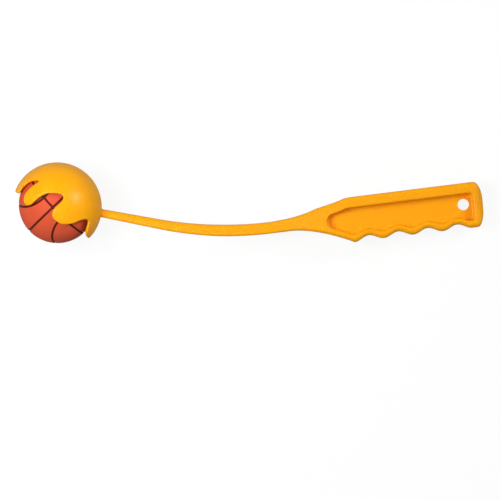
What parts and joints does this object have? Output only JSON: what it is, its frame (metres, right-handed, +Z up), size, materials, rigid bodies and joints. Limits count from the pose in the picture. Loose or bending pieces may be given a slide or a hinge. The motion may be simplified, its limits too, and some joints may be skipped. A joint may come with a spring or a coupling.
{
  "type": "dog ball thrower",
  "caption": "Handheld ball thrower for dogs: a springy plastic arm with a recessed, finger-grooved grip and an open clawed cup that holds a seamed rubber ball until the arm is swung.",
  "frame": {"origin": "bottom centre of the bounding box, with the thrower lying on its side on the cup and the butt of the grip", "axes": "+X from the cup towards the butt of the grip, +Y towards the back of the grip, away from the finger grooves, +Z up, across the thrower's thickness"},
  "size_m": [0.3736, 0.0644, 0.0717],
  "materials": {
    "thrower_plastic": "satin moulded, amber yellow",
    "ball_rubber": "matt red-orange with dark seams"
  },
  "bodies": {
    "thrower": {"thrower": "thrower_plastic"},
    "ball": {"ball": "ball_rubber"}
  },
  "joints": [
    {"name": "ball_release", "type": "slide", "parent": "thrower", "child": "ball", "axis": [-0.5326, -0.8453, 0.0428], "range_m": [0, 0.055]}
  ]
}
